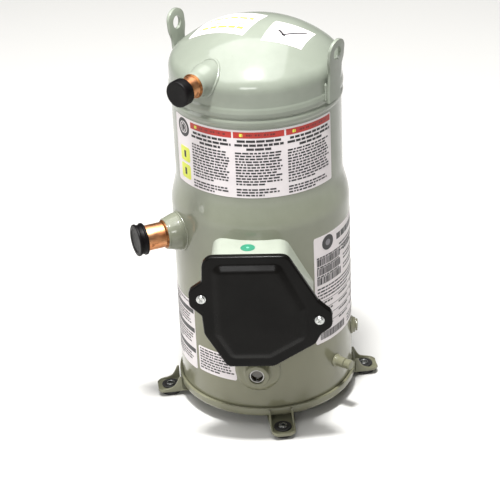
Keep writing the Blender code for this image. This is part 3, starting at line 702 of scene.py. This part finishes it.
def make_box():
    """Box walls standing on the shell, two screw ears and the gasket on their rim."""
    on_shell = lambda x: -math.sqrt((BODY_R + GAP) ** 2 - x * x)
    bm = bmesh.new()
    bridge(bm, [upright(BOX_OUTLINE, inset, depth) for inset, depth in (
        (0, on_shell), (0, -130), (0, BOX_FRONT + 0.6), (0.6, BOX_FRONT), (2.0, BOX_FRONT),
        (2.6, BOX_FRONT + 0.6), (2.6, -130), (2.6, on_shell))], closed=True)
    walls = piece("box_walls", bm, "box_paint", ["terminal_box"])
    for x, z in COVER_SCREWS:
        # The ear starts inside the wall and is rounded where it stands free.
        low, high, left, right = (x - 8, -60.8, 5, 0.01) if x < 0 else (69.0, x + 8, 0.01, 5)
        corners = ((low, z - 8, left), (high, z - 8, right), (high, z + 8, right),
                   (low, z + 8, left))
        ear = bmesh.new()
        flat = rounded(corners, 6)
        bridge(ear, [[Vector((p.x, y, p.y)) for p in flat] for y in (-148.0, -159.7)])
        carve(walls, piece("ear", ear, None), "UNION")
        drill(walls, 2.8, 140, 190, facing(x, z))
    drill(walls, 10.5, 100, 130, Matrix.Translation((-12, -143, 0)))
    bm = bmesh.new()
    bridge(bm, [upright(BOX_OUTLINE, inset, depth) for inset, depth in (
        (-0.6, -160.3), (-0.6, -161.5), (3.2, -161.5), (3.2, -160.3))], closed=True)
    piece("foam_gasket", bm, "grommet_rubber", ["cover_gasket"])


def make_cover():
    """One moulding: a tray with a rounded rim, and a raised field with sloping sides."""
    bm = bmesh.new()
    rim = [upright(COVER_OUTLINE, inset, depth, 8) for inset, depth in (
        (3.0, COVER_FRONT + 2.6), (3.0, COVER_BACK), (0.4, COVER_BACK), (0, COVER_BACK - 0.4),
        (0, -167.5), (0.25, -168.7), (0.85, -169.6), (1.7, -170.1), (2.8, COVER_FRONT))]
    rings = bridge(bm, rim, ends=False)
    bm.faces.new(rings[0][::-1])
    field = [upright(FIELD_OUTLINE, inset, depth, 8) for inset, depth in (
        (-2.5, COVER_FRONT), (-1.0, -170.45), (0.3, -170.9), (1.6, -171.6), (5.6, -173.9),
        (7.6, -174.9), (9.6, -175.55), (11.6, -175.9), (14.0, -176.05), (17.0, -176.08))]
    risen = bridge(bm, field, ends=False)
    bm.faces.new(risen[-1])
    land = [bm.edges.get((ring[i], ring[(i + 1) % len(ring)]))
            for ring in (rings[-1], risen[0]) for i in range(len(ring))]
    bmesh.ops.triangle_fill(bm, edges=land, use_beauty=True)
    piece("moulded_cover", bm, "cover_plastic", ["terminal_cover"], "cover", crease=42)
    for number, (x, z) in enumerate(COVER_SCREWS, 1):
        place = facing(x, z)
        screw = piece("pan_head_screw_%d" % number, turned((
            (0, 163.0), (2.4, 163.0, 0.4), (2.4, 170.7), (6.4, 170.7, 0.3), (6.4, 171.5, 0.3),
            (5.0, 171.8, 0.3), (4.8, 173.5, 1.1), (0, 174.1)), 48), "zinc_steel",
            ["cover_screw_%d" % number], "cover", place)
        for turn in (38, 128):
            slot = bmesh.new()
            bridge(slot, [[Vector((a, b, h)) for a, b in ((-3.0, -0.62), (3.0, -0.62),
                                                          (3.0, 0.62), (-3.0, 0.62))]
                          for h in (172.6, 176.0)])
            carve(screw, piece("slot", slot, None,
                               place=place @ Matrix.Rotation(math.radians(turn), 4, "Z")))


# ---------------------------------------------------------------- labels

def curved(azimuth, z, lift):
    """A place on the shell, lifted off it."""
    a = math.radians(azimuth)
    r = outside(z) + lift
    return Vector((r * math.sin(a), -r * math.cos(a), z))


def strip(bm, spot, width, height, lift, corner=0.0, pitch=4.0):
    """A thin closed patch, width by height, laid on a surface by spot(u, v, lift)."""
    rows = [0.0]
    if corner:
        rows += [corner * t for t in (0.15, 0.4, 1.0)]
    count = max(1, math.ceil((height - 2 * corner) / pitch / 2))
    rows += [corner + (height - 2 * corner) * k / count for k in range(1, count)]
    rows += [height - c for c in sorted(rows[:4 if corner else 1], reverse=True)]
    across = max(1, math.ceil(width / pitch))
    grids = []
    for rise in lift:
        grid = []
        for v in rows:
            edge = min(v, height - v)
            cut = corner - math.sqrt(max(0.0, corner ** 2 - (corner - edge) ** 2)) \
                if corner and edge < corner else 0.0
            grid.append([bm.verts.new(spot(cut + (width - 2 * cut) * k / across, v, rise))
                         for k in range(across + 1)])
        grids.append(grid)
    low, high = grids
    for grid in grids:
        for a, b in zip(grid, grid[1:]):
            for k in range(across):
                bm.faces.new((a[k], a[k + 1], b[k + 1], b[k]))
    rim = [(0, k) for k in range(across + 1)] + [(j, across) for j in range(1, len(rows))]
    rim += [(len(rows) - 1, k) for k in range(across - 1, -1, -1)]
    rim += [(j, 0) for j in range(len(rows) - 2, 0, -1)]
    for (a, b), (c, d) in zip(rim, rim[1:] + rim[:1]):
        bm.faces.new((low[a][b], low[c][d], high[c][d], high[a][b]))


def disc(bm, spot, u, v, radius, lift, steps=32):
    """A thin round patch laid on a surface."""
    rings = [[bm.verts.new(spot(u + radius * s * math.cos(2 * math.pi * k / steps),
                                v + radius * s * math.sin(2 * math.pi * k / steps), rise))
              for k in range(steps)] for s, rise in
             ((0.5, lift[0]), (1.0, lift[0]), (1.0, lift[1]), (0.5, lift[1]))]
    for a, b in zip(rings, rings[1:]):
        for k in range(steps):
            j = (k + 1) % steps
            bm.faces.new((a[k], a[j], b[j], b[k]))
    bm.faces.new(rings[0])
    bm.faces.new(rings[-1])


# Underside and face of a label film, and of the ink on it, above the surface.
FILM, INK = (0.04, 0.24), (0.20, 0.36)


def moved(spot, u, v):
    """The same label places, counted from another corner."""
    return lambda a, b, rise: spot(u + a, v + b, rise)


class Label:
    """A label film with its printed patches, each colour one piece."""

    def __init__(self, name, spot, width, height, corner=3.0):
        self.name, self.spot, self.width, self.height = name, spot, width, height
        self.inks = {}
        film = bmesh.new()
        strip(film, spot, width, height, FILM, corner)
        piece(name + "_film", film, "film_white", crease=50)

    def ink(self, colour):
        return self.inks.setdefault(colour, bmesh.new())

    def block(self, colour, u, v, width, height, corner=0.0):
        strip(self.ink(colour), moved(self.spot, u, v), width, height, INK, corner)

    def dot(self, colour, u, v, radius):
        disc(self.ink(colour), self.spot, u, v, radius, INK)

    def line(self, colour, u, v, width, height, dice, words=(2.4, 8.5), space=1.3, fill=1.0):
        """A line of plain bars the length of words; no letters."""
        at, end = u, u + width * fill
        while at < end - 1.5:
            long = min(dice.uniform(*words), end - at)
            self.block(colour, at, v, long, height)
            at += long + space

    def text(self, colour, u, top, width, lines, pitch, height, dice, last=0.6):
        for k in range(lines):
            self.line(colour, u, top - k * pitch - height, width, height, dice,
                      fill=last if k == lines - 1 else dice.uniform(0.88, 1.0))

    def bars(self, colour, u, v, end, height, dice):
        """A row of upright bars of mixed widths, up to an end."""
        while u < end:
            wide = dice.choice((1.2, 1.7, 2.6))
            self.block(colour, u, v, wide, height)
            u += wide + dice.choice((0.6, 0.8, 1.1))

    def done(self):
        for colour, bm in self.inks.items():
            piece(self.name + "_" + colour.split("_")[1], bm, colour, crease=50)


def shell_spot(azimuth, low):
    """Label places on the shell: u runs around it and v up it, in mm."""
    radius = outside(low + 5)
    return lambda u, v, lift: curved(azimuth + math.degrees(u / radius), low + v, lift)


def make_labels():
    """Printed films around the neck and the body: plain bars, blocks and dots, no letters."""
    dice = random.Random(7)
    step = math.radians(1) * NECK_R
    neck = Label("neck_label", shell_spot(-66, 340), 126 * step, 97)
    neck.dot("film_black", 10.5 * step, 82, 13.0)
    neck.dot("film_white", 10.5 * step, 82, 8.6)
    neck.dot("film_black", 10.5 * step, 82, 6.4)
    for v in (33, 8):
        neck.block("film_yellow", 5.2 * step, v, 22, 21, 3.0)
        neck.block("film_black", 5.2 * step + 8.6, v + 5.5, 4.8, 10, 1.0)
    for left, right in ((18.7, 51.4), (52.6, 86.4), (87.6, 125.0)):
        u, wide = left * step, (right - left) * step
        neck.block("film_red", u, 85.6, wide, 8.6)
        neck.block("film_yellow", u + wide * 0.12, 87.8, 4.6, 4.2, 1.0)
        neck.line("film_rust", u + wide * 0.25, 88.6, wide * 0.62, 2.8, dice, (5, 11), 2.2)
        for k, fill in enumerate((0.86, 0.96, 0.5)):
            neck.line("film_black", u + wide * (1 - fill) / 2, 79.6 - 5.6 * k, wide * fill, 3.3,
                      dice, (5, 12), 1.3)
        neck.text("film_black", u + 1.5, 65.4, wide - 4, 12, 4.05, 2.25, dice)
        neck.text("film_black", u + 1.5, 13.2, wide - 6, 3, 4.05, 2.25, dice)
    neck.done()

    step = math.radians(1) * BODY_R
    plate = Label("rating_label", shell_spot(37, 105), 61 * step, 164)
    plate.dot("film_black", 12 * step, 151, 11.0)
    plate.dot("film_grey", 12 * step, 151, 4.5)
    plate.line("film_black", 21 * step, 146.5, 72, 9.0, dice, (8, 14), 1.6)
    plate.text("film_black", 24 * step, 138, 68, 3, 5.0, 2.4, dice)
    for base in (120, 105.5, 91):
        plate.text("film_black", 4.5, base + 13.2, 50, 1, 4, 2.2, dice, 0.9)
        plate.bars("film_black", 4.5, base, 52, 10.4, dice)
        plate.text("film_black", 62, base + 11, 60, 2, 5.2, 2.3, dice)
    plate.text("film_black", 4.5, 86, 118, 4, 5.0, 2.3, dice)
    for v in (56, 44, 32, 20):
        plate.block("film_black", 4.5, v + 8.4, 118, 0.7)
        for u in (4.5, 46, 86):
            plate.text("film_black", u + 1, v + 6.6, 34, 1, 4, 2.6, dice, 0.8)
    plate.bars("film_black", 8.0, 5, 62, 11, dice)
    plate.text("film_black", 72, 16, 48, 3, 4.6, 2.2, dice)
    plate.done()

    panel = Label("side_label", shell_spot(-95.5, 58), 45.5 * step, 107)
    panel.text("film_black", 4, 104, 45.5 * step - 9, 2, 4.3, 2.1, dice)
    for bar, lines in ((87.5, 5), (57.2, 5), (24.5, 4)):
        panel.block("film_black", 2, bar, 45.5 * step - 4, 7.0)
        panel.text("film_black", 4, bar - 3, 45.5 * step - 9, lines, 4.3, 2.1, dice)
    panel.done()

    small = Label("lower_label", shell_spot(-47.5, 61.5), 30 * step, 39)
    small.text("film_black", 3.0, 36.5, 30 * step - 6, 8, 4.25, 2.2, dice)
    small.done()


def dome_spot(corner, along, upward):
    """Label places on the dome: from a corner, u along one edge and v along the other."""
    inner, span = SKIRT_R - KNUCKLE_R, CROWN_R - KNUCKLE_R
    crown = SKIRT_TOP - math.sqrt(span ** 2 - inner ** 2)
    one = Vector((math.cos(math.radians(along)), math.sin(math.radians(along))))
    two = Vector((math.cos(math.radians(upward)), math.sin(math.radians(upward))))

    def spot(u, v, lift):
        flat = Vector(corner) + one * u + two * v
        rise = math.sqrt(CROWN_R ** 2 - flat.length_squared)
        if flat.length > CROWN_R * inner / span:
            past = min(flat.length - inner, KNUCKLE_R)
            rise = SKIRT_TOP - crown + math.sqrt(max(0, KNUCKLE_R ** 2 - past ** 2))
        point = Vector((flat.x, flat.y, crown + rise))
        return point + (point - Vector((0, 0, crown))).normalized() * lift
    return spot


def make_stickers():
    """The tag and the card on the crown, and the round sticker on the box."""
    dice = random.Random(11)
    tag = Label("crown_tag", dome_spot((11.0, -51.5), -1, 70), 52, 54, 1.0)

    def stroke(u_start, v_start, turn):
        along, across = math.cos(math.radians(turn)), math.sin(math.radians(turn))
        return lambda u, v, rise: tag.spot(u_start + u * along - v * across,
                                           v_start + u * across + v * along, rise)
    # A plain tick, drawn in two strokes.
    for u_start, v_start, turn, long in ((12, 28, -46, 17), (22, 16.5, 46, 34)):
        strip(tag.ink("film_black"), stroke(u_start, v_start, turn), long, 2.8, INK, pitch=1.4)
    tag.done()
    card = Label("crown_card", dome_spot((-12.0, -41.0), 152, 62), 84, 66, 2.0)
    for v, tall in ((12, 5.4), (24, 2.2), (40, 5.4), (52, 2.2)):
        card.line("film_yellow", 8, v, 68, tall, dice, (6, 14), 2.4)
    card.done()
    # Round paint-dot sticker on the top wall of the box.
    bm = bmesh.new()
    roof = lambda u, v, lift: Vector((u, v, 282 + lift))
    disc(bm, roof, -12.0, -141.5, 9.6, FILM, 48)
    piece("box_dot_film", bm, "film_green")
    bm = bmesh.new()
    disc(bm, roof, -12.0, -141.5, 2.0, INK, 32)
    piece("box_dot_centre", bm, "film_pale")


# ---------------------------------------------------------------- stage

def make_floor():
    """A pale matt paper floor under the feet."""
    bm = bmesh.new()
    bmesh.ops.create_grid(bm, x_segments=2, y_segments=2, size=6.0)
    bm.transform(Matrix.Translation((0, 0, FOOT_SOLE * MM)))
    mesh = bpy.data.meshes.new("studio_floor")
    bm.to_mesh(mesh)
    bm.free()
    floor = bpy.data.objects.new("studio_floor", mesh)
    look = bpy.data.materials.new("white_floor_paper")
    look.use_nodes = True
    shader = look.node_tree.nodes["Principled BSDF"]
    shader.inputs["Base Color"].default_value = linear("#CBCAC7")
    shader.inputs["Roughness"].default_value = 0.9
    mesh.materials.append(look)
    bpy.context.scene.collection.objects.link(floor)


def make_light():
    """Soft light from above, weaker soft light from the front and left, and dim air."""
    world = bpy.data.worlds.new("studio_air")
    world.use_nodes = True
    world.node_tree.nodes["Background"].inputs["Color"].default_value = (1.0, 1.0, 0.99, 1.0)
    world.node_tree.nodes["Background"].inputs["Strength"].default_value = 0.04
    bpy.context.scene.world = world
    for name, place, size, power in (
            ("key_softbox", (-0.04, -0.50, 2.6), (0.40, 0.18), 104.0),
            ("ceiling_softbox", (-0.3, 0.0, 3.4), (3.8, 3.4), 135.0),
            ("front_fill", (-0.35, -2.7, 1.62), (1.0, 0.5), 19.0),
            ("left_softbox", (-2.45, -0.35, 0.85), (0.9, 1.6), 17.0)):
        lamp = bpy.data.lights.new(name, "AREA")
        lamp.shape, (lamp.size, lamp.size_y), lamp.energy = "RECTANGLE", size, power
        stand = bpy.data.objects.new(name, lamp)
        aim = Vector((0, 0, 0.27)) - Vector(place)
        stand.matrix_world = (Matrix.Translation(place)
                              @ aim.to_track_quat("-Z", "Y").to_matrix().to_4x4())
        bpy.context.scene.collection.objects.link(stand)
    bpy.context.scene.view_settings.view_transform = "Standard"


def dress_internals():
    """The pieces sealed inside keep their CAD shape and take a finish from their slot."""
    for node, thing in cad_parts.items():
        for slot in thing.material_slots:
            key = slot.material.name.split(".")[0] if slot.material else ""
            if key in FINISHES:
                slot.material = FINISHES[key]
            else:
                print("no finish for", node, key)


set_camera()
make_shell()
make_stub("suction", SUCTION, start=104, flare_r=26.0, boss_r=21.6, boss_end=143.0,
          pipe_r=17.5, pipe_end=182.0, bead=2.0)
make_stub("discharge", DISCHARGE, start=84, flare_r=21.5, boss_r=17.2, boss_end=130.0,
          pipe_r=14.3, pipe_end=160.0, bead=2.2)
make_caps()
make_lugs()
make_feet()
make_ports()
make_box()
make_cover()
make_labels()
make_stickers()
dress_internals()
make_floor()
make_light()
